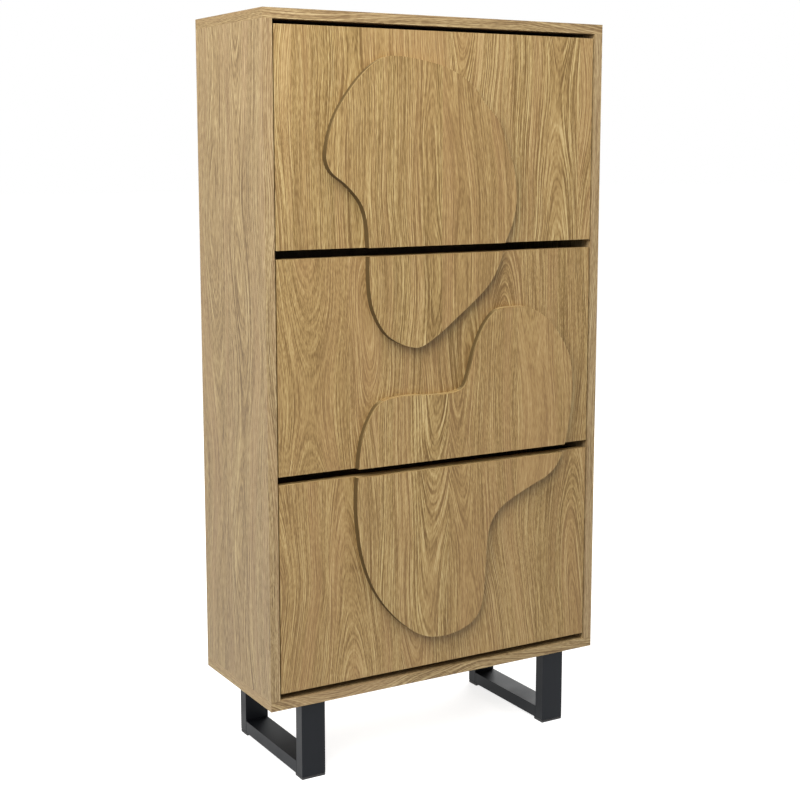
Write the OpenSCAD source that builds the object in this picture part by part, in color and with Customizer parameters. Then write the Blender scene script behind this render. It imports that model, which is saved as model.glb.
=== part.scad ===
// Shoe cabinet: a flat board carcass on two sled legs, with three tilting shoe flaps.
// Frame: X to the right, Y to the back, Z up. The origin is on the floor, under the middle.

/* [Carcass] */
// Width over the side panels
cabinet_w = 600; // [500:1:800]
// Depth of the carcass, without the raised panels
cabinet_d = 240; // [205:1:290]
// Thickness of the top, bottom and side panels
board_t = 15; // [13:1:19]
// Thickness of the back panel
back_t = 3; // [2.5:0.5:5]
// How far the back panel sits inside the rear edges
back_inset = 1; // [0.5:0.5:6]
// Width of the rebate that the back panel lies in
rebate_w = 7; // [5:1:9]
// Clearance round the back panel in its rebate
back_clear = 0.5; // [0.2:0.1:1]
// Height of the two rails behind the flaps
rail_h = 70; // [50:1:75]
// Thickness of the two rails
rail_t = 15; // [12:1:18]
// Distance between the two wall screws in the upper rail
wall_hole_pitch = 400; // [300:1:440]
// Diameter of the holes for the wall screws
wall_hole_d = 6; // [5:0.5:8]

/* [Flaps] */
// Height of each flap's front panel
door_h = 320; // [266:1:384]
// Thickness of the front panels
door_t = 15; // [12:1:18]
// How far the front panels sit behind the carcass edge
door_inset = 1; // [0:0.5:3]
// Gap between the top panel and the top flap
top_gap = 7; // [6:0.5:12]
// Gap between two flaps
door_gap = 13; // [12:0.5:18]
// Gap between the bottom flap and the bottom panel
bottom_gap = 10; // [7:0.5:16]
// Gap between a front panel and the side panel next to it
side_gap = 2.5; // [2:0.1:4]
// Thickness of the raised decor panels
overlay_t = 12; // [6:0.5:13]

/* [Flap racks] */
// Thickness of the plastic cheeks at the ends of a rack
cheek_t = 6; // [5:0.5:8]
// Thickness of the boards inside a rack
rack_t = 10; // [8:1:12]
// Height of a pivot above the lower edge of its front panel
pivot_rise = 60; // [56:1:70]
// Distance of a pivot behind the back face of its front panel
pivot_back = 9; // [8.5:0.5:10]
// Free space between the cheek's arc and the edge of the flap above
arc_clear = 5; // [3:0.5:10]
// Free space between a rack and the rails behind it
rack_clear = 8; // [4:0.5:15]
// Clear depth of the front row of shoes
front_pocket = 97; // [80:1:105]
// Height of the divider board above the lower shelf
divider_h = 190; // [120:1:200]
// Height of the upper shelf above the lower shelf
upper_rise = 57; // [40:1:65]
// Angle that a flap tilts out
open_angle = 40; // [30:1:42]

/* [Pivots] */
// Diameter of the pivot pins
pin_d = 8; // [6:0.5:9]
// Radial running clearance of a pivot pin in its cheek
pin_clear = 0.05; // [0.02:0.01:0.1]
// Diameter of the collar on a pivot pin
collar_d = 14; // [12:0.5:16]
// Depth of the pins and pegs in the side panels
pin_depth = 10; // [8:0.5:11]
// Outer diameter of the hub round a pivot bore
hub_d = 16; // [14:0.5:16.5]
// Length of the hub beyond the cheek
hub_t = 6; // [4:0.5:8]
// Diameter of the stop pegs
peg_d = 6; // [5:0.5:7]
// Radial clearance of a stop peg in its slot
peg_clear = 0.6; // [0.4:0.1:1]
// Distance of a stop peg from the pivot
peg_r = 100; // [90:1:104]
// Angle of a stop peg above the horizontal, seen from the pivot
peg_angle = 60; // [56:1:64]

/* [Legs] */
// Height of the legs, from the floor to the carcass
leg_h = 122; // [90:1:160]
// Width of the leg tube, across the front
tube_w = 40; // [30:1:50]
// Depth of the leg tube, in the plane of the frame
tube_d = 20; // [15:1:30]
// Wall thickness of the leg tube
tube_wall = 1.5; // [1.2:0.1:2.5]
// Distance of a leg from the side of the cabinet
leg_inset = 54; // [30:1:90]
// Distance of a leg from the front and back of the carcass
leg_setback = 7; // [2:1:20]
// Thickness of the mounting plates
plate_t = 4; // [3:0.5:6]
// Thickness of the foot plugs under the tubes
foot_t = 4; // [3:0.5:8]
// Depth of a foot plug's flange
foot_d = 24; // [21:1:30]
// Clearance of a foot plug inside its tube
plug_clear = 0.2; // [0.1:0.1:0.4]
// Height of a foot plug inside its tube
plug_h = 12; // [8:1:20]

/* [Fasteners] */
// Diameter of the wood dowels
dowel_d = 8; // [6:0.5:8]
// Length of the wood dowels
dowel_l = 30; // [25:1:35]
// Depth of a dowel across a board's face
dowel_face = 10; // [8:0.5:11]
// Diameter of the cam discs
cam_d = 15; // [12:0.5:18]
// Distance of a cam disc from the end of its panel
cam_reach = 34; // [24:1:40]
// Board left behind a cam disc
cam_floor = 2.5; // [2:0.5:4]
// Diameter of the cam bolts
cam_bolt_d = 6; // [5:0.5:7]
// Diameter of the screws
screw_d = 3.5; // [3:0.1:4]
// Diameter of the screw heads
screw_head_d = 7; // [6:0.1:8]
// Thickness of the screw heads
screw_head_t = 2; // [1.5:0.1:2.5]
// Depth of the screws in wood
screw_bite = 10; // [8:0.5:11]
// Diameter of the back panel's screws
back_screw_d = 2; // [1.6:0.1:2.5]
// Depth of the back panel's screws in wood
back_screw_bite = 12; // [8:1:16]

/* [Hidden] */
$fn = 48;
cut = 1; // how far a cutting shape runs past a face
flaps = 3;
outline_steps = 8; // short lines between two outline points
arc_fn = 180; // facets of the large arcs

// Outline points of the raised panels. Each is [share of the front width, share of the stack height],
// from the upper left corner of the flap stack, clockwise.
upper_outline = [
    [0.353, 0.040], [0.288, 0.048], [0.224, 0.079], [0.163, 0.129], [0.136, 0.180], [0.147, 0.209],
    [0.195, 0.231], [0.236, 0.257], [0.254, 0.287], [0.260, 0.332], [0.262, 0.383], [0.276, 0.423],
    [0.320, 0.461], [0.401, 0.481], [0.457, 0.470], [0.536, 0.438], [0.633, 0.393], [0.675, 0.356],
    [0.690, 0.327], [0.716, 0.294], [0.728, 0.256], [0.718, 0.206], [0.693, 0.170], [0.669, 0.135],
    [0.621, 0.107], [0.577, 0.078], [0.489, 0.053]];
lower_outline = [
    [0.737, 0.427], [0.672, 0.430], [0.630, 0.451], [0.596, 0.489], [0.577, 0.526], [0.556, 0.551],
    [0.500, 0.558], [0.400, 0.5555], [0.339, 0.556], [0.293, 0.563], [0.263, 0.584], [0.237, 0.620],
    [0.226, 0.664], [0.221, 0.711], [0.226, 0.761], [0.243, 0.812], [0.279, 0.862], [0.341, 0.908],
    [0.420, 0.943], [0.492, 0.952], [0.560, 0.946], [0.606, 0.930], [0.627, 0.903], [0.636, 0.847],
    [0.643, 0.796], [0.664, 0.767], [0.708, 0.746], [0.796, 0.723], [0.844, 0.712], [0.884, 0.692],
    [0.912, 0.652], [0.929, 0.588], [0.927, 0.530], [0.899, 0.491], [0.844, 0.452], [0.781, 0.431]];

// Where the screws of each raised panel sit, as shares of the front width and the stack height
upper_screws = [[[0.30, 0.11], [0.58, 0.15], [0.24, 0.20], [0.60, 0.28]],
                [[0.34, 0.37], [0.56, 0.39], [0.36, 0.43]]];
lower_screws = [[[0.72, 0.47], [0.35, 0.60], [0.85, 0.55], [0.80, 0.62]],
                [[0.30, 0.72], [0.58, 0.74], [0.34, 0.82], [0.50, 0.91]]];

// Heights
carcass_h = 2 * board_t + top_gap + flaps * door_h + (flaps - 1) * door_gap + bottom_gap;
z_base = leg_h;
z_top = leg_h + carcass_h;
z_floor = z_base + board_t;
z_roof = z_top - board_t;
z_stack = z_roof - top_gap;
stack_h = flaps * door_h + (flaps - 1) * door_gap;

// Widths
x_out = cabinet_w / 2;
x_in = x_out - board_t;
door_w = 2 * (x_in - side_gap);
x_cheek = door_w / 2 - cheek_t;
x_leg = x_out - leg_inset - tube_w;

// Depths
proud = max(overlay_t - door_inset, 0);
y_front = (proud - cabinet_d) / 2;
y_back = y_front + cabinet_d;
y_sheet = y_back - back_inset - back_t;
y_rail = y_sheet - rail_t;
y_door = y_front + door_inset;
y_pivot = y_door + door_t + pivot_back;

// Racks, measured from the pivot
rack_foot = 8; // lower edge of a rack above the lower edge of its front panel
rack_low = rack_foot - pivot_rise;
rack_depth = y_rail - rack_clear - y_pivot;
cheek_r = door_h - pivot_rise - arc_clear;
shelf_top = rack_low + rack_t;
divider_y = front_pocket - pivot_back;
divider_top = shelf_top + divider_h;
upper_z = shelf_top + upper_rise;
rear_margin = 7;
rear_top = sqrt(cheek_r * cheek_r - rack_depth * rack_depth) - rear_margin;
tab_w = 14;
tab_t = 4;
tab_h = 40;
tab_gap = 8; // between the hub and the lower tab
tab_edge = 30; // between the upper tab and the top of the arc
tab_low_z = hub_d / 2 + tab_gap;
tab_high_z = cheek_r - tab_edge - tab_h;
rack_end_inset = 16; // between a rack screw and the end of its board
divider_screw_rise = 20; // that the lower divider screw sits higher than the inset
collar_gap = 0.5; // between a pin's collar and its cheek
pin_short = 1; // that the pins and pegs end inside the hubs and cheeks
overlay_skin = 4; // wood left in front of the screws in a raised panel

// Fastener places
dowel_front = 45;
dowel_rear = 60;
cam_front = 80;
cam_rear = 95;
rail_dowel_edge = 18;
cam_clear = 0.1;
cam_depth = board_t - cam_floor;
cam_head_rim = 0.7;
cam_head_d = cam_bolt_d + 2 * cam_head_rim;
cam_head_t = 3;
cam_way_clear = 0.3;
cam_way_d = cam_head_d + 2 * cam_way_clear;
back_screws_across = 3;
back_screws_down = 5;
back_screw_edge = rebate_w / 2;
plate_screw_edge = 18;
plate_screw_side = 10;

// ---------- shared functions and shapes ----------

function door_z(i) = z_stack - (i + 1) * door_h - i * door_gap;
function pivot_z(i) = door_z(i) + pivot_rise;
function stack_point(p) = [(p[0] - 0.5) * door_w, z_stack - p[1] * stack_h];

// A point of the smooth curve between b and c, at share t of the way
function curve_point(a, b, c, d, t) =
    (2 * b + (c - a) * t + (2 * a - 5 * b + 4 * c - d) * t * t + (3 * b - a - 3 * c + d) * t * t * t) / 2;

// A smooth closed curve through the points
function closed_curve(points) =
    let (n = len(points))
    [for (i = [0 : n - 1])
        for (k = [0 : outline_steps - 1])
            curve_point(points[(i + n - 1) % n], points[i], points[(i + 1) % n], points[(i + 2) % n],
                        k / outline_steps)];

// A block from its lowest corner to its highest corner
module block(low, high) {
    translate(low)
        cube(high - low);
}

// A profile drawn in Y and Z, made solid from x along +X
module slab_x(x, length) {
    translate([x, 0, 0])
        rotate([90, 0, 90])
            linear_extrude(length)
                children();
}

// A profile drawn in X and Z, made solid from y along +Y
module slab_y(y, length) {
    translate([0, y + length, 0])
        rotate([90, 0, 0])
            linear_extrude(length)
                children();
}

module rod_x(d, length) {
    rotate([0, 90, 0])
        cylinder(d = d, h = length);
}

module rod_y(d, length) {
    rotate([-90, 0, 0])
        cylinder(d = d, h = length);
}

// Both sides of the cabinet: side is -1 on the left and 1 on the right
module both_sides() {
    for (side = [-1, 1])
        on_side(side)
            children();
}

// A shape of the right side, mirrored to the left when side is -1
module on_side(side) {
    if (side < 0)
        mirror([1, 0, 0])
            children();
    else
        children();
}

// ---------- places that several pieces share ----------

// Dowels between the side panels and the top or bottom panel, drawn along +Z from the joint upwards
module corner_dowel_places() {
    for (y = [y_front + dowel_front, y_back - dowel_rear]) {
        translate([x_in + board_t / 2, y, z_roof])
            children();
        translate([x_in + board_t / 2, y, z_floor])
            mirror([0, 0, 1])
                children();
    }
}

// Cam fittings between the same panels, drawn the same way
module cam_places() {
    for (y = [y_front + cam_front, y_back - cam_rear]) {
        translate([x_in + board_t / 2, y, z_roof])
            children();
        translate([x_in + board_t / 2, y, z_floor])
            mirror([0, 0, 1])
                children();
    }
}

// Dowels between the rails and the side panels, drawn along +X from the joint outwards
module rail_dowel_places() {
    for (z = [z_roof - rail_h + rail_dowel_edge, z_roof - rail_dowel_edge,
              z_floor + rail_dowel_edge, z_floor + rail_h - rail_dowel_edge])
        translate([x_in, y_rail + rail_t / 2, z])
            children();
}

// Pivots and stop pegs on the inner face of the right side panel, drawn along +X into the panel
module pivot_places() {
    for (i = [0 : flaps - 1])
        translate([x_in, y_pivot, pivot_z(i)])
            children();
}

module peg_places() {
    for (i = [0 : flaps - 1])
        translate([x_in, y_pivot + peg_r * cos(peg_angle), pivot_z(i) + peg_r * sin(peg_angle)])
            children();
}

// Screws round the back panel, drawn along -Y from the outer face of the panel
module back_screw_places() {
    span_x = 2 * (x_in + back_screw_edge);
    span_z = z_roof - z_floor + 2 * back_screw_edge;
    for (i = [0 : back_screws_across - 1])
        for (z = [z_floor - back_screw_edge, z_roof + back_screw_edge])
            translate([(i / (back_screws_across - 1) - 0.5) * span_x, y_sheet + back_t, z])
                children();
    for (k = [1 : back_screws_down - 2])
        for (side = [-1, 1])
            translate([side * span_x / 2, y_sheet + back_t,
                       z_floor - back_screw_edge + k / (back_screws_down - 1) * span_z])
                children();
}

module wall_hole_places() {
    for (side = [-1, 1])
        translate([side * wall_hole_pitch / 2, y_rail, z_roof - rail_h / 2])
            children();
}

// Screws through a mounting plate, drawn along +Z from the lower face of the plate
module plate_screw_places() {
    for (x = [x_leg + plate_screw_side, x_leg + tube_w - plate_screw_side])
        for (y = [y_front + leg_setback + tube_d + plate_screw_edge,
                  y_back - leg_setback - tube_d - plate_screw_edge])
            translate([x, y, z_base - plate_t])
                children();
}

// ---------- fasteners ----------

// The threaded shank of a screw and its head, along +Z, with the head's upper face at 0
module screw(length) {
    cylinder(d = screw_d, h = length);
    translate([0, 0, -screw_head_t])
        cylinder(d = screw_head_d, h = screw_head_t);
}

// A countersunk screw along +Z: the outer face of the head is at 0
module sunk_screw(length) {
    cylinder(d = screw_head_d, h = screw_head_t);
    translate([0, 0, screw_head_t])
        cylinder(d = screw_d, h = length - screw_head_t);
}

module back_screw() {
    rotate([90, 0, 0])
        cylinder(d = back_screw_d, h = back_t + back_screw_bite);
}

module corner_dowel() {
    translate([0, 0, dowel_face - dowel_l])
        cylinder(d = dowel_d, h = dowel_l);
}

module rail_dowel() {
    translate([dowel_face - dowel_l, 0, 0])
        rod_x(dowel_d, dowel_l);
}

module cam_bolt() {
    translate([0, 0, -cam_reach])
        cylinder(d = cam_bolt_d, h = cam_reach + screw_bite);
    translate([0, 0, -cam_reach - cam_head_t / 2])
        cylinder(d = cam_head_d, h = cam_head_t);
}

// The way of a cam bolt through the end of a side panel
module cam_bolt_way() {
    translate([0, 0, -cam_reach - cam_head_t])
        cylinder(d = cam_way_d, h = cam_reach + cam_head_t + cut);
}

// The seat of a cam disc, from the inner face of the side panel
module cam_seat(extra) {
    translate([-board_t / 2 - extra, 0, -cam_reach])
        rod_x(cam_d, cam_depth + extra);
}

module cam_disc() {
    difference() {
        translate([-board_t / 2, 0, -cam_reach])
            rod_x(cam_d - 2 * cam_clear, cam_depth);
        cam_bolt_way();
    }
}

// ---------- carcass ----------

// The full rebate that the back panel lies in
module rebate() {
    block([-x_in - rebate_w, y_sheet, z_floor - rebate_w],
          [x_in + rebate_w, y_back + cut, z_roof + rebate_w]);
}

module top_panel() {
    color("burlywood")
        difference() {
            block([-x_out, y_front, z_roof], [x_out, y_back, z_top]);
            rebate();
            both_sides() {
                corner_dowel_places()
                    corner_dowel();
                cam_places()
                    cam_bolt();
            }
            back_screw_places()
                back_screw();
        }
}

module bottom_panel() {
    color("burlywood")
        difference() {
            block([-x_out, y_front, z_base], [x_out, y_back, z_floor]);
            rebate();
            both_sides() {
                corner_dowel_places()
                    corner_dowel();
                cam_places()
                    cam_bolt();
                plate_screw_places()
                    screw(plate_t + screw_bite);
            }
            back_screw_places()
                back_screw();
        }
}

module side_panel(side) {
    color("burlywood")
        on_side(side)
            difference() {
                block([x_in, y_front, z_floor], [x_out, y_back, z_roof]);
                rebate();
                corner_dowel_places()
                    corner_dowel();
                cam_places() {
                    cam_bolt_way();
                    cam_seat(cut);
                }
                rail_dowel_places()
                    rod_x(dowel_d, dowel_face);
                pivot_places()
                    rod_x(pin_d, pin_depth);
                peg_places()
                    rod_x(peg_d, pin_depth);
                back_screw_places()
                    back_screw();
            }
}

module back_panel() {
    reach = rebate_w - back_clear;
    color("peru")
        difference() {
            block([-x_in - reach, y_sheet, z_floor - reach],
                  [x_in + reach, y_sheet + back_t, z_roof + reach]);
            back_screw_places()
                back_screw();
            wall_hole_places()
                rod_y(wall_hole_d, rail_t + back_t + cut);
        }
}

module rail(low_z) {
    color("burlywood")
        difference() {
            block([-x_in, y_rail, low_z], [x_in, y_sheet, low_z + rail_h]);
            both_sides()
                rail_dowel_places()
                    rail_dowel();
            wall_hole_places()
                translate([0, -cut, 0])
                    rod_y(wall_hole_d, rail_t + 2 * cut);
        }
}

module dowels() {
    color("wheat")
        both_sides() {
            corner_dowel_places()
                corner_dowel();
            rail_dowel_places()
                rail_dowel();
        }
}

module cam_bolts() {
    color("silver")
        both_sides()
            cam_places()
                cam_bolt();
}

module cam_discs() {
    color("silver")
        both_sides()
            cam_places()
                cam_disc();
}

module back_screws() {
    color("silver")
        back_screw_places()
            back_screw();
}

// Plain pins pressed into the side panels, each with a collar that spaces the cheek
module pivot_pins() {
    reach = side_gap + cheek_t + hub_t - pin_short;
    collar_t = side_gap - collar_gap;
    color("silver")
        both_sides()
            pivot_places() {
                translate([-reach, 0, 0])
                    rod_x(pin_d, reach + pin_depth);
                translate([-collar_t, 0, 0])
                    rod_x(collar_d, collar_t);
            }
}

module stop_pegs() {
    reach = side_gap + cheek_t - pin_short;
    color("silver")
        both_sides()
            peg_places()
                translate([-reach, 0, 0])
                    rod_x(peg_d, reach + pin_depth);
}

// ---------- legs ----------

module leg_bar(side) {
    y0 = y_front + leg_setback + tube_d;
    y1 = y_back - leg_setback - tube_d;
    color("dimgray")
        on_side(side)
            difference() {
                block([x_leg, y0, foot_t], [x_leg + tube_w, y1, foot_t + tube_d]);
                block([x_leg + tube_wall, y0 - cut, foot_t + tube_wall],
                      [x_leg + tube_w - tube_wall, y1 + cut, foot_t + tube_d - tube_wall]);
            }
}

module leg_post(side, y0) {
    color("dimgray")
        on_side(side)
            difference() {
                block([x_leg, y0, foot_t], [x_leg + tube_w, y0 + tube_d, z_base]);
                block([x_leg + tube_wall, y0 + tube_wall, foot_t - cut],
                      [x_leg + tube_w - tube_wall, y0 + tube_d - tube_wall, z_base + cut]);
            }
}

module leg_plate(side) {
    color("dimgray")
        on_side(side)
            difference() {
                block([x_leg, y_front + leg_setback + tube_d, z_base - plate_t],
                      [x_leg + tube_w, y_back - leg_setback - tube_d, z_base]);
                plate_screw_places()
                    screw(plate_t + cut);
            }
}

module leg_screws() {
    color("black")
        both_sides()
            plate_screw_places()
                screw(plate_t + screw_bite);
}

// A flange under the end of a post, with a plug inside the tube. Inwards is 1 at the front, -1 at the back.
module foot_plug(y_outer, inwards) {
    rim = tube_wall + plug_clear;
    translate([x_leg, y_outer, 0])
        mirror([0, inwards < 0 ? 1 : 0, 0]) {
            cube([tube_w, foot_d, foot_t]);
            block([rim, rim, 0], [tube_w - rim, tube_d - rim, foot_t + plug_h]);
        }
}

module foot_plugs() {
    color("black")
        both_sides() {
            foot_plug(y_front + leg_setback, 1);
            foot_plug(y_back - leg_setback, -1);
        }
}

// ---------- flaps ----------

// Moves a shape from the pivot's own place to flap i
module at_flap(i) {
    translate([0, y_pivot, pivot_z(i)])
        children();
}

module raised_outline(points) {
    polygon([for (p = closed_curve(points)) stack_point(p)]);
}

module front_outline(i) {
    translate([-door_w / 2, door_z(i)])
        square([door_w, door_h]);
}

module overlay(i, points, screws) {
    color("tan")
        difference() {
            slab_y(y_door - overlay_t, overlay_t)
                intersection() {
                    raised_outline(points);
                    front_outline(i);
                }
            overlay_screw_set(screws);
        }
}

// Screws from the back of a front panel into its raised panel
module overlay_screw_set(screws) {
    bite = overlay_t - overlay_skin;
    for (p = screws)
        translate([stack_point(p)[0], y_door + door_t, stack_point(p)[1]])
            rotate([90, 0, 0])
                sunk_screw(door_t + bite);
}

// Every overlay screw of flap i
function flap_overlay_screws(i) =
    i == 0 ? upper_screws[0] : i == 1 ? concat(upper_screws[1], lower_screws[0]) : lower_screws[1];

module front(i) {
    color("burlywood")
        difference() {
            slab_y(y_door, door_t)
                front_outline(i);
            overlay_screw_set(flap_overlay_screws(i));
            at_flap(i)
                both_sides()
                    tab_screw_set();
        }
}

module overlay_screws(i) {
    color("silver")
        overlay_screw_set(flap_overlay_screws(i));
}

// The screws of a cheek's two tabs, from the tab's rear face into the front panel
module tab_screw_set() {
    for (z = [tab_low_z, tab_high_z])
        translate([x_cheek - tab_w / 2, -pivot_back + tab_t, z + tab_h / 2])
            rotate([90, 0, 0])
                screw(tab_t + screw_bite);
}

// Where the cheek screws meet the ends of the rack boards, as [y, z]
board_screws = [
    [rack_end_inset, rack_low + rack_t / 2],
    [divider_y - rack_end_inset, rack_low + rack_t / 2],
    [divider_y + rack_t / 2, shelf_top + rack_end_inset + divider_screw_rise],
    [divider_y + rack_t / 2, divider_top - rack_end_inset],
    [divider_y + rack_t + rack_end_inset, upper_z + rack_t / 2],
    [rack_depth - rack_end_inset, upper_z + rack_t / 2],
    [rack_depth - rack_t / 2, upper_z + rack_t + rack_end_inset],
    [rack_depth - rack_t / 2, rear_top - rack_end_inset]];

module board_screw_set() {
    for (p = board_screws)
        translate([x_cheek + cheek_t, p[0], p[1]])
            rotate([0, -90, 0])
                sunk_screw(cheek_t + screw_bite);
}

// Outline of a cheek in Y and Z: a fan with its arc about the pivot
module cheek_outline() {
    intersection() {
        circle(r = cheek_r, $fn = arc_fn);
        polygon([
            [-pivot_back, rack_low],
            [divider_y + rack_t, rack_low],
            [rack_depth, upper_z],
            [rack_depth, cheek_r],
            [-pivot_back, cheek_r]]);
    }
}

// The arc slot that the stop peg runs in, from the shut end to the open end
module peg_slot() {
    slot_w = peg_d + 2 * peg_clear;
    reach = 2 * peg_r;
    intersection() {
        difference() {
            circle(r = peg_r + slot_w / 2, $fn = arc_fn);
            circle(r = peg_r - slot_w / 2, $fn = arc_fn);
        }
        polygon([
            [0, 0],
            reach * [cos(peg_angle - open_angle), sin(peg_angle - open_angle)],
            reach * [cos(peg_angle), sin(peg_angle)]]);
    }
    for (a = [peg_angle - open_angle, peg_angle])
        translate(peg_r * [cos(a), sin(a)])
            circle(d = slot_w);
}

module cheek(side, i) {
    color("dimgray")
        at_flap(i)
            on_side(side)
                difference() {
                    union() {
                        slab_x(x_cheek, cheek_t)
                            cheek_outline();
                        slab_x(x_cheek - hub_t, hub_t + cut)
                            circle(d = hub_d);
                        for (z = [tab_low_z, tab_high_z])
                            block([x_cheek - tab_w, -pivot_back, z],
                                  [x_cheek + cut, -pivot_back + tab_t, z + tab_h]);
                    }
                    slab_x(x_cheek - hub_t - cut, hub_t + cheek_t + 2 * cut)
                        circle(d = pin_d + 2 * pin_clear);
                    slab_x(x_cheek - cut, cheek_t + 2 * cut)
                        peg_slot();
                    tab_screw_set();
                    board_screw_set();
                }
}

// A board between the cheeks of flap i, from [y, z] to [y, z]
module rack_board(i, low, high) {
    color("burlywood")
        at_flap(i)
            difference() {
                block([-x_cheek, low[0], low[1]], [x_cheek, high[0], high[1]]);
                both_sides()
                    board_screw_set();
            }
}

module lower_shelf(i) {
    rack_board(i, [-pivot_back, rack_low], [divider_y + rack_t, shelf_top]);
}

module divider(i) {
    rack_board(i, [divider_y, shelf_top], [divider_y + rack_t, divider_top]);
}

module upper_shelf(i) {
    rack_board(i, [divider_y + rack_t, upper_z], [rack_depth, upper_z + rack_t]);
}

module rear_board(i) {
    rack_board(i, [rack_depth - rack_t, upper_z + rack_t], [rack_depth, rear_top]);
}

module rack_screws(i) {
    color("silver")
        at_flap(i)
            both_sides() {
                tab_screw_set();
                board_screw_set();
            }
}

// ---------- nodes ----------

top_panel();
bottom_panel();
side_panel(-1);  // side_panel_left
side_panel(1);  // side_panel_right
back_panel();
rail(z_roof - rail_h);  // upper_rail
rail(z_floor);  // lower_rail
dowels();
cam_bolts();
cam_discs();
back_screws();
pivot_pins();
stop_pegs();
leg_bar(-1);  // leg_bar_left
leg_bar(1);  // leg_bar_right
leg_post(-1, y_front + leg_setback);  // leg_post_front_left
leg_post(1, y_front + leg_setback);  // leg_post_front_right
leg_post(-1, y_back - leg_setback - tube_d);  // leg_post_rear_left
leg_post(1, y_back - leg_setback - tube_d);  // leg_post_rear_right
leg_plate(-1);  // leg_plate_left
leg_plate(1);  // leg_plate_right
leg_screws();
foot_plugs();
front(0);  // front_top
front(1);  // front_middle
front(2);  // front_bottom
overlay(0, upper_outline, upper_screws[0]);  // overlay_top
overlay(1, upper_outline, upper_screws[1]);  // overlay_middle_upper
overlay(1, lower_outline, lower_screws[0]);  // overlay_middle_lower
overlay(2, lower_outline, lower_screws[1]);  // overlay_bottom
cheek(-1, 0);  // cheek_left_top
cheek(1, 0);  // cheek_right_top
cheek(-1, 1);  // cheek_left_middle
cheek(1, 1);  // cheek_right_middle
cheek(-1, 2);  // cheek_left_bottom
cheek(1, 2);  // cheek_right_bottom
lower_shelf(0);  // lower_shelf_top
lower_shelf(1);  // lower_shelf_middle
lower_shelf(2);  // lower_shelf_bottom
divider(0);  // divider_top
divider(1);  // divider_middle
divider(2);  // divider_bottom
upper_shelf(0);  // upper_shelf_top
upper_shelf(1);  // upper_shelf_middle
upper_shelf(2);  // upper_shelf_bottom
rear_board(0);  // rear_board_top
rear_board(1);  // rear_board_middle
rear_board(2);  // rear_board_bottom
rack_screws(0);  // rack_screws_top
rack_screws(1);  // rack_screws_middle
rack_screws(2);  // rack_screws_bottom
overlay_screws(0);  // overlay_screws_top
overlay_screws(1);  // overlay_screws_middle
overlay_screws(2);  // overlay_screws_bottom
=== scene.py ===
"""Shoe cabinet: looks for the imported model, in metres, in the model's own frame."""

import math
from types import SimpleNamespace

import bpy
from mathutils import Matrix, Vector


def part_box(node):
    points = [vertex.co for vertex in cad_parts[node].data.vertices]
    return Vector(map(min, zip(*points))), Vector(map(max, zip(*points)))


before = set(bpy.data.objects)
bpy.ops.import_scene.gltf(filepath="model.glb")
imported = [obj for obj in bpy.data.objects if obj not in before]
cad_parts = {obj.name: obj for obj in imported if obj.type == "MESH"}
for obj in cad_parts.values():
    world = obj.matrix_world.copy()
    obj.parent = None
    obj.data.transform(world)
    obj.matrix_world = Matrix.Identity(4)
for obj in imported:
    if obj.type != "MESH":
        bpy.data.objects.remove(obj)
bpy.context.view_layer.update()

LEVELS = ("top", "middle", "bottom")
SIDES = ("left", "right")

# ---------- camera ----------

CAMERA_PLACE = (-1.203, -2.031, 0.956)
CAMERA_YAW = math.radians(-30.45)
CAMERA_PITCH = math.radians(-8.40)
FOCAL_PER_WIDTH = 1473 / 800
SENSOR_MM = 36
CAMERA_SHIFT = -0.04
CAMERA_REACH = 200


def make_camera():
    """The camera at the photograph's place and angle, with a small downward shift."""
    data = bpy.data.cameras.new("camera")
    data.sensor_width = SENSOR_MM
    data.lens = FOCAL_PER_WIDTH * SENSOR_MM
    data.shift_y = CAMERA_SHIFT
    data.clip_end = CAMERA_REACH
    camera = bpy.data.objects.new("camera", data)
    camera.location = CAMERA_PLACE
    camera.rotation_euler = (math.pi / 2 + CAMERA_PITCH, 0, CAMERA_YAW)
    bpy.context.collection.objects.link(camera)
    bpy.context.scene.camera = camera


# ---------- shader building ----------

# most of a noise's values lie in the outer band, and the larger part of those in the inner one
OUTER_BAND = (0.25, 0.75)
INNER_BAND = (0.30, 0.70)


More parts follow.
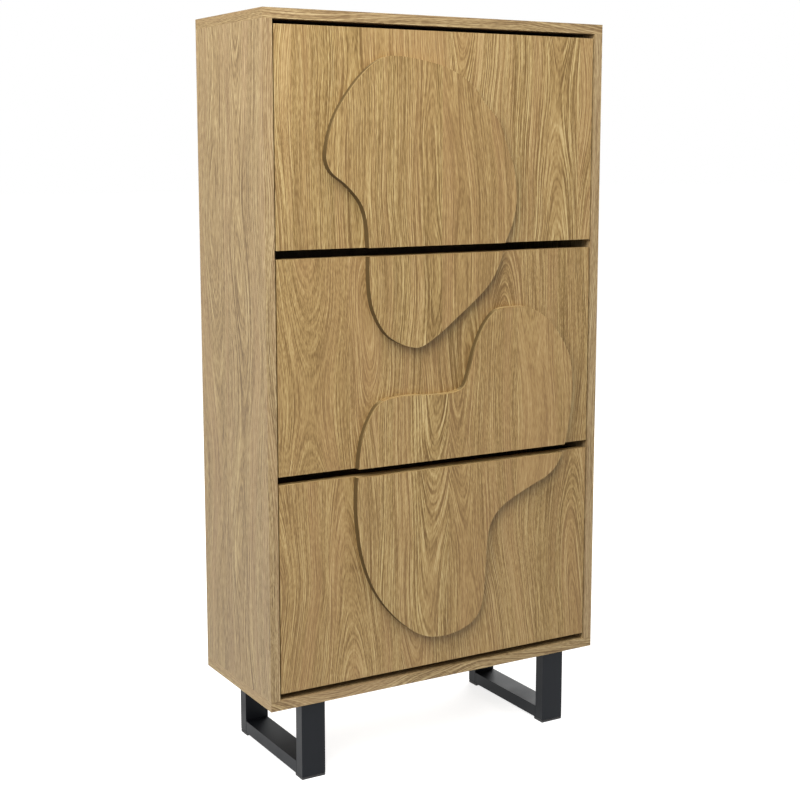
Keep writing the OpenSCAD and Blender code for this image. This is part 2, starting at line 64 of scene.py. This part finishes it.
class Shader:
    """A material's node tree, with short calls for the nodes that the materials use."""

    def __init__(self, name):
        self.material = bpy.data.materials.new(name)
        self.material.use_nodes = True
        self.tree = self.material.node_tree
        self.surface = self.tree.nodes["Principled BSDF"]
        where = self.tree.nodes.new("ShaderNodeTexCoord")
        self.place = where.outputs["Object"]
        self.normal = where.outputs["Normal"]

    def node(self, kind, inputs=(), **settings):
        node = self.tree.nodes.new(kind)
        for key, value in settings.items():
            setattr(node, key, value)
        for socket, value in dict(inputs).items():
            self.set(node.inputs[socket], value)
        return node

    def set(self, socket, value):
        if isinstance(value, bpy.types.NodeSocket):
            self.tree.links.new(value, socket)
        else:
            socket.default_value = value

    def math(self, operation, a, b=0.0, c=0.0):
        return self.node("ShaderNodeMath", {0: a, 1: b, 2: c}, operation=operation).outputs[0]

    def times(self, a, b):
        return self.math("MULTIPLY", a, b)

    def total(self, first, *others):
        for other in others:
            first = self.math("ADD", first, other)
        return first

    def blend(self, factor, a, b):
        return self.node("ShaderNodeMix", {0: factor, 2: a, 3: b}, data_type="FLOAT").outputs[0]

    def separate(self, vector):
        return self.node("ShaderNodeSeparateXYZ", {0: vector}).outputs

    def span(self, value, low, high, to_low=0.0, to_high=1.0):
        inputs = {"Value": value, "From Min": low, "From Max": high}
        inputs.update({"To Min": to_low, "To Max": to_high})
        return self.node("ShaderNodeMapRange", inputs).outputs[0]

    def chance(self, w):
        """A random colour and value that stay the same where w does."""
        return self.node("ShaderNodeTexWhiteNoise", {"W": w}, noise_dimensions="1D").outputs

    def noise(self, vector, detail, rough, scale=1.0):
        inputs = {"Vector": vector, "Scale": scale, "Detail": detail, "Roughness": rough}
        return self.node("ShaderNodeTexNoise", inputs).outputs["Fac"]

    def speckle(self, scale, detail, rough=0.5):
        """Noise with the same scale in every direction."""
        return self.noise(self.place, detail, rough, scale)

    def streaks(self, *axes, detail=1.0, rough=0.5):
        """Noise along three (value, scale) axes, each with a scale of its own."""
        x, y, z = (self.times(value, scale) for value, scale in axes)
        vector = self.node("ShaderNodeCombineXYZ", {0: x, 1: y, 2: z}).outputs[0]
        return self.noise(vector, detail, rough)

    def noise_line(self, w):
        inputs = {"W": w, "Scale": 1.0, "Detail": 1.0}
        return self.node("ShaderNodeTexNoise", inputs, noise_dimensions="1D").outputs["Fac"]

    def ramp(self, value, stops):
        """Colours at rising positions. The node starts with two stops, used for the first and last."""
        node = self.node("ShaderNodeValToRGB", {0: value})
        ramp = node.color_ramp
        for element, (position, colour) in zip(ramp.elements, (stops[0], stops[-1])):
            element.position = position
            element.color = (*colour, 1)
        for position, colour in stops[1:-1]:
            ramp.elements.new(position).color = (*colour, 1)
        return node.outputs["Color"]

    def mix(self, factor, a, b):
        return self.node("ShaderNodeMix", {0: factor, 6: a, 7: b}, data_type="RGBA").outputs[2]

    def bump(self, height, strength, depth):
        inputs = {"Height": height, "Strength": strength, "Distance": depth}
        self.set(self.surface.inputs["Normal"], self.node("ShaderNodeBump", inputs).outputs[0])

    def finish(self, colour, rough, **plain):
        """Sets the colour, the roughness, and the plain values of the shader's other sockets."""
        for name, value in plain.items():
            self.surface.inputs[name.replace("_", " ")].default_value = value
        self.set(self.surface.inputs["Base Color"], colour)
        self.set(self.surface.inputs["Roughness"], rough)
        return self.material


# ---------- oak decor ----------

OAK_STOPS = (
    (0.0, (0.150, 0.084, 0.025)),
    (0.28, (0.245, 0.154, 0.052)),
    (0.52, (0.338, 0.224, 0.083)),
    (0.78, (0.422, 0.298, 0.122)),
    (1.0, (0.520, 0.388, 0.180)),
)
OAK_WARM = (0.37, 0.218, 0.094, 1)
OAK_PORE = (0.16, 0.095, 0.042, 1)
OAK_GLOSS = 0.28
OAK_ROUGH = (0.46, 0.60)

# how far a face looks along an axis, from 0 to 1, to count as squarely that way
SQUARE = 0.7

# strips of the decor: their width, how far a seed moves them and their random picks, and a
# start far enough to one side that no strip's number is below zero
STRIP = 0.128
STRIP_SHIFT = 0.037
STRIP_START = 20
PICK_SHIFT = 7.31
SECOND_PICK = 7.7
LOG_LENGTH = 40

# a tree's middle, aside from its strip's middle and under its face: random, then wandering
ASIDE = 0.045
ASIDE_WANDER = 0.016
ASIDE_RATE = 1.9
ASIDE_RIPPLE = 0.0016
UNDER = 0.020
UNDER_WANDER = 0.040
UNDER_RATE = 1.3
UNDER_START = 31.0
THICKNESS_FOLD = 0.02

# growth rings: their spacing, how many rings they drift, their unevenness and their strength;
# TINY keeps a division away from zero
RING = 0.0035
RING_DRIFT = 1.6
RING_SKEW = 0.6
RING_STRENGTH = (0.08, 0.36)
RING_PICK = 13.7
TINY = 0.0005

# how much each layer of the grain darkens or lightens
FIBRE_TONE = 0.95
DASH_TONE = 0.28
BROAD_TONE = (0.42, 0.52)
STRIP_TONE = (-0.07, 0.05)
LEAST_CONTRAST = 0.40
ARCH_CONTRAST = 0.35
HUE_WARMTH = 0.25
PORE_TONE = 0.35
PORE_SINK = 0.7

# a raised panel's side wall: its darker edge tone with painted shade, its painted highlight where it
# faces up, and how high over its foot the painted highlight is full and the painted contact shadow is
# still full
WALL_TONE_AND_SHADE = (0.095, 0.060, 0.021, 1)
WALL_PAINTED_LIGHT = (0.25, 0.176, 0.074, 1)
WALL_SHADOW_TURN = (0.0095, 0.0075)


def board_frame(s, axes):
    """A board's own directions: where a point lies, and how squarely its face looks each way."""
    place = s.separate(s.place)
    facing = s.separate(s.normal)
    order = ["XYZ".index(axis) for axis in axes]
    board = SimpleNamespace()
    width, board.thick, length = (place[index] for index in order)
    board.side, board.front, board.end = (s.math("ABSOLUTE", facing[index]) for index in order)
    board.lift = facing[order[2]]
    # on a board's ends the edge band's grain runs along the edge
    on_end = s.math("GREATER_THAN", board.end, SQUARE)
    board.across = s.blend(on_end, width, board.thick)
    board.along = s.blend(on_end, length, width)
    return board


def tree_frame(s, board, seed):
    """Where a point lies in its strip's tree: x and y from the middle, and far along the trunk."""
    tree = SimpleNamespace()
    strip = s.math("DIVIDE", s.math("ADD", board.across, STRIP_START + seed * STRIP_SHIFT), STRIP)
    inside = s.times(s.math("SUBTRACT", s.math("FRACT", strip), 0.5), STRIP)
    tree.pick = s.math("ADD", s.math("FLOOR", strip), seed * PICK_SHIFT)
    picked = s.node("ShaderNodeSeparateColor", {0: s.chance(tree.pick)["Color"]})
    tree.red, tree.green, tree.blue = picked.outputs
    tree.far = s.math("MULTIPLY_ADD", tree.blue, LOG_LENGTH, board.along)
    wander = s.noise_line(s.times(tree.far, ASIDE_RATE))
    ripple = s.streaks((board.across, 22), (tree.far, 9), (seed, 1))
    under = s.noise_line(s.math("MULTIPLY_ADD", tree.far, UNDER_RATE, UNDER_START))
    tree.x = s.total(
        inside,
        s.span(tree.red, 0, 1, -ASIDE, ASIDE),
        s.span(wander, *OUTER_BAND, -ASIDE_WANDER, ASIDE_WANDER),
        s.span(ripple, *OUTER_BAND, -ASIDE_RIPPLE, ASIDE_RIPPLE),
    )
    tree.y = s.total(
        s.span(tree.green, 0, 1, 0.0, UNDER),
        s.span(under, *OUTER_BAND, 0.0, UNDER_WANDER),
        s.math("PINGPONG", board.thick, THICKNESS_FOLD),
    )
    square = s.math("ADD", s.times(tree.x, tree.x), s.times(tree.y, tree.y))
    tree.radius = s.math("SQRT", square)
    return tree


def growth_rings(s, tree):
    """Uneven waves round the tree's middle, each with its own strength."""
    drift = s.streaks((tree.radius, 55), (tree.x, 8), (tree.far, 2.2), detail=1.5)
    drift = s.span(drift, *OUTER_BAND, -RING_DRIFT, RING_DRIFT)
    phase = s.math("ADD", s.math("DIVIDE", tree.radius, RING), drift)
    turn = s.times(phase, 2 * math.pi)
    turn = s.math("MULTIPLY_ADD", s.math("SINE", turn), RING_SKEW, turn)
    pick = s.math("MULTIPLY_ADD", tree.pick, RING_PICK, s.math("FLOOR", phase))
    size = s.span(s.chance(pick)["Value"], 0, 1, *RING_STRENGTH)
    return s.times(s.math("SINE", turn), size)


def line_contrast(s, board, tree, strength):
    """Lines fade in the middle of an arch, where the rings lie nearly flat in the board."""
    steep = s.math("DIVIDE", s.math("ABSOLUTE", tree.x), s.math("ADD", tree.radius, TINY))
    on_side = s.math("GREATER_THAN", board.side, SQUARE)
    clear = s.math("MAXIMUM", s.span(steep, 0.05, 0.45, ARCH_CONTRAST, 1.0), on_side)
    pick = s.math("FRACT", s.times(tree.blue, SECOND_PICK))
    return s.times(clear, s.span(pick, 0, 1, LEAST_CONTRAST * strength, strength))


def grain_tone(s, board, tree, fibre, seed, tone_shift, strength):
    """How dark or pale the grain is, as a place on the colour ramp."""
    dash = s.streaks((tree.x, 900), (tree.y, 900), (tree.far, 85))
    broad = s.streaks((board.across, 11), (tree.far, 1.2), (seed, 1), detail=2.0)
    fibre = s.span(fibre, *INNER_BAND, -FIBRE_TONE, FIBRE_TONE)
    lines = s.math("ADD", growth_rings(s, tree), fibre)
    base = [tone + tone_shift for tone in BROAD_TONE]
    return s.total(
        s.times(lines, line_contrast(s, board, tree, strength)),
        s.span(dash, *INNER_BAND, -DASH_TONE, DASH_TONE),
        s.span(broad, *INNER_BAND, *base),
        s.span(tree.green, 0, 1, *STRIP_TONE),
    )


def oak_colour(s, tree, tone, pores, warmth, pale):
    colour = s.ramp(tone, OAK_STOPS)
    hue = s.streaks((tree.radius, 60), (tree.x, 9), (tree.far, 1.3))
    hue = s.span(hue, 0.45, 0.65, 0.0, HUE_WARMTH)
    warm = s.math("ADD", hue, s.span(tree.red, 0, 1, 0.0, warmth))
    colour = s.mix(warm, colour, OAK_WARM)
    colour = s.mix(s.span(pores, 0.62, 0.72, 0.0, PORE_TONE), colour, OAK_PORE)
    # greying the colour paints the sheen of reflected white light
    if pale:
        inputs = {"Saturation": 1 - pale, "Color": colour}
        colour = s.node("ShaderNodeHueSaturation", inputs).outputs["Color"]
    return colour


def paint_wall_shade_and_light(s, board, colour):
    """Gives a raised panel's curved side wall a darker edge tone with painted shade, but not its face
    or its straight ends.

    Where the wall faces up it gets a painted highlight, and only its foot stays dark as a painted
    contact shadow. At the top of an arch the painted highlight covers the whole wall."""
    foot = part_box("overlay_top")[1][1]
    pale, dark = (foot - height for height in WALL_SHADOW_TURN)
    # where an up-facing wall gets the painted highlight, kept off its foot, where the painted contact
    # shadow stays
    outer = s.span(board.thick, pale, dark, 1.0, 0.0)
    outer = s.times(outer, s.span(board.lift, 0.15, 0.45))
    # the painted highlight, also over the whole wall at the top of an arch
    painted_highlight = s.math("MAXIMUM", outer, s.span(board.lift, 0.75, 0.97))
    # the wall's darker edge tone with painted shade, lit by the painted highlight
    wall = s.mix(painted_highlight, WALL_TONE_AND_SHADE, WALL_PAINTED_LIGHT)
    flush = s.math("MAXIMUM", board.front, s.span(board.end, 0.90, 0.99))
    return s.mix(s.span(flush, 0.15, 0.55, 1.0, 0.0), colour, wall)


def oak(name, axes, seed, tone_shift=0.0, pale=0.0, warmth=0.16, strength=1.0, routed=False):
    """Oak decor film. axes names the board's width, thickness and grain directions in that order.

    The decor is made of strips side by side, and each strip is cut from its own place in a tree, so
    its growth rings make long straight lines or tall arches. seed picks the strips. tone_shift
    darkens or lightens the film, pale greys it as a painted sheen of reflected white light, warmth
    lets some strips be redder, and strength is the contrast of the lines. routed gives a raised panel
    its darker side wall, with painted shade and a painted highlight on it."""
    s = Shader(name)
    board = board_frame(s, axes)
    tree = tree_frame(s, board, seed)
    fibre = s.streaks((tree.radius, 1500), (tree.x, 40), (tree.far, 7), detail=1.5, rough=0.6)
    pores = s.streaks((tree.x, 1500), (tree.y, 1500), (tree.far, 45))
    tone = grain_tone(s, board, tree, fibre, seed, tone_shift, strength)
    colour = oak_colour(s, tree, tone, pores, warmth, pale)
    if routed:
        colour = paint_wall_shade_and_light(s, board, colour)
    relief = s.math("MULTIPLY_ADD", pores, -PORE_SINK, fibre)
    s.bump(relief, strength=0.25, depth=0.0003)
    rough = s.span(fibre, 0.2, 0.8, *OAK_ROUGH)
    return s.finish(colour, rough, Specular_IOR_Level=OAK_GLOSS)


# ---------- the other materials ----------

HARDBOARD_STOPS = (
    (0, (0.125, 0.072, 0.034)),
    (0.5, (0.205, 0.125, 0.062)),
    (1, (0.310, 0.205, 0.115)),
)
COAT_STOPS = ((0.3, (0.0034, 0.0041, 0.0060)), (0.7, (0.0052, 0.0060, 0.0082)))
COAT_GLOSS = {"Specular_IOR_Level": 0.2, "Specular_Tint": (0.90, 0.95, 1.0, 1)}
PLASTIC_STOPS = ((0.3, (0.016, 0.016, 0.017)), (0.7, (0.024, 0.024, 0.025)))
ZINC_STOPS = ((0.3, (0.42, 0.42, 0.40)), (0.7, (0.62, 0.62, 0.60)))
BEECH_STOPS = ((0.3, (0.45, 0.30, 0.17)), (0.7, (0.62, 0.45, 0.28)))
PAPER_STOPS = ((0.3, (0.50, 0.50, 0.50)), (0.7, (0.52, 0.52, 0.52)))


def hardboard(name):
    """The smooth brown face of the thin back panel."""
    s = Shader(name)
    fleck = s.speckle(420, detail=3, rough=0.65)
    cloud = s.speckle(9, detail=3)
    chip = s.speckle(95, detail=2)
    tone = s.total(
        s.span(fleck, *INNER_BAND, 0.0, 0.5),
        s.span(cloud, *INNER_BAND, 0.0, 0.3),
        s.span(chip, *INNER_BAND, 0.0, 0.2),
    )
    s.bump(fleck, strength=0.15, depth=0.0002)
    rough = s.span(cloud, *INNER_BAND, 0.42, 0.55)
    return s.finish(s.ramp(tone, HARDBOARD_STOPS), rough)


def powder_coat(name):
    """Black powder coat with its fine dimpled skin."""
    s = Shader(name)
    dimple = s.speckle(900, detail=2)
    cloud = s.speckle(14, detail=2)
    s.bump(dimple, strength=0.35, depth=0.00012)
    rough = s.span(cloud, *INNER_BAND, 0.38, 0.50)
    return s.finish(s.ramp(cloud, COAT_STOPS), rough, **COAT_GLOSS)


def moulded_black(name):
    """Black moulded plastic with a fine spark texture."""
    s = Shader(name)
    spark = s.speckle(1400, detail=1)
    cloud = s.speckle(20, detail=2)
    s.bump(spark, strength=0.4, depth=0.0001)
    rough = s.span(spark, *INNER_BAND, 0.48, 0.66)
    return s.finish(s.ramp(cloud, PLASTIC_STOPS), rough)


def zinc(name):
    """Zinc plating, slightly blotched."""
    s = Shader(name)
    blotch = s.speckle(260, detail=3)
    s.bump(blotch, strength=0.1, depth=0.0001)
    rough = s.span(blotch, *INNER_BAND, 0.25, 0.42)
    return s.finish(s.ramp(blotch, ZINC_STOPS), rough, Metallic=0.95)


def beech(name):
    """Raw beech with short flecks."""
    s = Shader(name)
    fleck = s.speckle(300, detail=3)
    s.bump(fleck, strength=0.2, depth=0.0002)
    rough = s.span(fleck, *INNER_BAND, 0.55, 0.7)
    return s.finish(s.ramp(fleck, BEECH_STOPS), rough)


# ---------- CAD nodes: materials and eased edges ----------

WELD_REACH = 1e-6
SHARP_ANGLE = math.radians(35)


def each_level(*stems):
    return [f"{stem}_{level}" for stem in stems for level in LEVELS]


# each carcass board's node, material, directions for oak(), seed, tone shift and greyness, a painted
# sheen of reflected white light
CARCASS_LOOKS = (
    ("top_panel", "oak_top", "YZX", 3, -0.05, 0.10),
    ("bottom_panel", "oak_bottom", "YZX", 8, 0.0, 0.10),
    ("side_panel_left", "oak_side_left", "YXZ", 92, 0.0, 0.12),
    ("side_panel_right", "oak_side_right", "YXZ", 17, 0.0, 0.12),
)
CARCASS_WARMTH = 0.0
CARCASS_STRENGTH = 0.7
CARCASS = [look[0] for look in CARCASS_LOOKS]

# each front's level, seed and tone shift
FRONT_LOOKS = (("top", 51, 0.0), ("middle", 52, -0.07), ("bottom", 53, -0.03))
FRONTS = each_level("front")

OVERLAY_TONE = -0.05
OVERLAYS = ["overlay_top", "overlay_middle_upper", "overlay_middle_lower", "overlay_bottom"]
RACK_BOARDS = each_level("lower_shelf", "divider", "upper_shelf", "rear_board")
CHEEKS = each_level("cheek_left", "cheek_right")
LEG_PARTS = ("bar", "post_front", "post_rear", "plate")
LEG_NODES = [f"leg_{part}_{side}" for part in LEG_PARTS for side in SIDES]
LEVEL_SCREWS = each_level("rack_screws", "overlay_screws")
CARCASS_FITTINGS = ["cam_bolts", "cam_discs", "back_screws", "pivot_pins", "stop_pegs"]

# which nodes get rounded edges, how wide, and in how many steps
EASED = (
    (CARCASS, 0.0006, 2),
    (FRONTS, 0.0011, 2),
    (OVERLAYS, 0.0020, 3),
    (RACK_BOARDS, 0.0005, 2),
    (LEG_NODES, 0.0012, 3),
    (["foot_plugs"], 0.0008, 2),
)


def paint(names, material):
    for name in names:
        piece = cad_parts[name]
        if not piece.material_slots:
            piece.data.materials.append(material)
        for slot in piece.material_slots:
            slot.link = "OBJECT"
            slot.material = material


def ease(names, width, segments):
    """Rounds the sharp edges of CAD nodes with modifiers; their meshes stay as they are."""
    for name in names:
        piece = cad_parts[name]
        weld = piece.modifiers.new("weld", "WELD")
        weld.merge_threshold = WELD_REACH
        bevel = piece.modifiers.new("ease", "BEVEL")
        bevel.width = width
        bevel.segments = segments
        bevel.limit_method = "ANGLE"
        bevel.angle_limit = SHARP_ANGLE
        bevel.harden_normals = True
        bevel.use_clamp_overlap = True


def dress_boards():
    for node, name, axes, seed, shift, pale in CARCASS_LOOKS:
        paint([node], oak(name, axes, seed, shift, pale, CARCASS_WARMTH, CARCASS_STRENGTH))
    for level, seed, shift in FRONT_LOOKS:
        paint([f"front_{level}"], oak(f"oak_front_{level}", "XYZ", seed, shift))
    # the two halves of a decor shape share their strips across the gap
    for seed, pair in ((72, OVERLAYS[:2]), (82, OVERLAYS[2:])):
        paint(pair, oak(f"oak_{pair[0]}", "XYZ", seed, OVERLAY_TONE, routed=True))
    paint(RACK_BOARDS, oak("oak_inner", "YZX", 41))
    paint(["upper_rail", "lower_rail"], oak("oak_rail", "ZYX", 42))
    paint(["back_panel"], hardboard("hardboard"))


def dress_fittings():
    paint(LEG_NODES, powder_coat("powder_coat"))
    paint(CHEEKS + ["foot_plugs"], moulded_black("moulded_black"))
    paint(["dowels"], beech("beech"))
    paint(LEVEL_SCREWS + CARCASS_FITTINGS, zinc("zinc"))
    paint(["leg_screws"], powder_coat("black_screws"))


# ---------- stage and light ----------

FLOOR_SIZE = 60
FLOOR_ROUGH = 0.9
FLOOR_GLOW = 0.78
AMBIENT = 0.47
AMBIENT_TINT = (1.0, 0.975, 0.94, 1)
WHITE = (1, 1, 1, 1)

# each lamp's name, place, aim, width and power
LAMPS = (
    ("key", (-1.65, -1.35, 2.3), (-0.1, 0, 0.85), 2.2, 92),
    ("overhead", (-0.3, -0.9, 3.0), (0, 0, 0.7), 1.6, 32),
    ("side_fill", (-1.2, 0.3, 2.2), (-0.3, 0, 1.2), 0.9, 8),
    ("back_fill", (2.0, 1.9, 2.0), (0.1, 0, 0.7), 2.0, 60),
)


def make_stage():
    bpy.ops.mesh.primitive_plane_add(size=FLOOR_SIZE)
    floor = bpy.context.object
    floor.name = "floor"
    s = Shader("floor_paper")
    colour = s.ramp(s.speckle(2, detail=2), PAPER_STOPS)
    plain = {"Specular_IOR_Level": 0.0, "Emission_Color": WHITE, "Emission_Strength": FLOOR_GLOW}
    floor.data.materials.append(s.finish(colour, FLOOR_ROUGH, **plain))
    floor.visible_diffuse = False


def make_world():
    """A white backdrop for the camera, and a softer, warmer light from all round."""
    world = bpy.data.worlds.new("studio")
    world.use_nodes = True
    tree = world.node_tree
    back = tree.nodes["Background"]
    seen = tree.nodes.new("ShaderNodeLightPath").outputs["Is Camera Ray"]
    tint = tree.nodes.new("ShaderNodeMix")
    tint.data_type = "RGBA"
    tint.inputs[6].default_value = AMBIENT_TINT
    tint.inputs[7].default_value = WHITE
    tree.links.new(seen, tint.inputs["Factor"])
    tree.links.new(tint.outputs[2], back.inputs["Color"])
    level = tree.nodes.new("ShaderNodeMapRange")
    level.inputs["To Min"].default_value = AMBIENT
    level.inputs["To Max"].default_value = 1.0
    tree.links.new(seen, level.inputs["Value"])
    tree.links.new(level.outputs[0], back.inputs["Strength"])
    bpy.context.scene.world = world


def make_lamps():
    for name, place, aim, size, power in LAMPS:
        data = bpy.data.lights.new(name, "AREA")
        data.shape = "DISK"
        data.size = size
        data.energy = power
        lamp = bpy.data.objects.new(name, data)
        lamp.location = place
        lamp.rotation_euler = (Vector(aim) - Vector(place)).to_track_quat("-Z", "Y").to_euler()
        bpy.context.collection.objects.link(lamp)


def show_plainly():
    """Shows colours as they are, without a film curve."""
    view = bpy.context.scene.view_settings
    view.view_transform = "Standard"
    view.look = "None"


make_camera()
dress_boards()
dress_fittings()
for names, width, segments in EASED:
    ease(names, width, segments)
make_stage()
make_world()
make_lamps()
show_plainly()
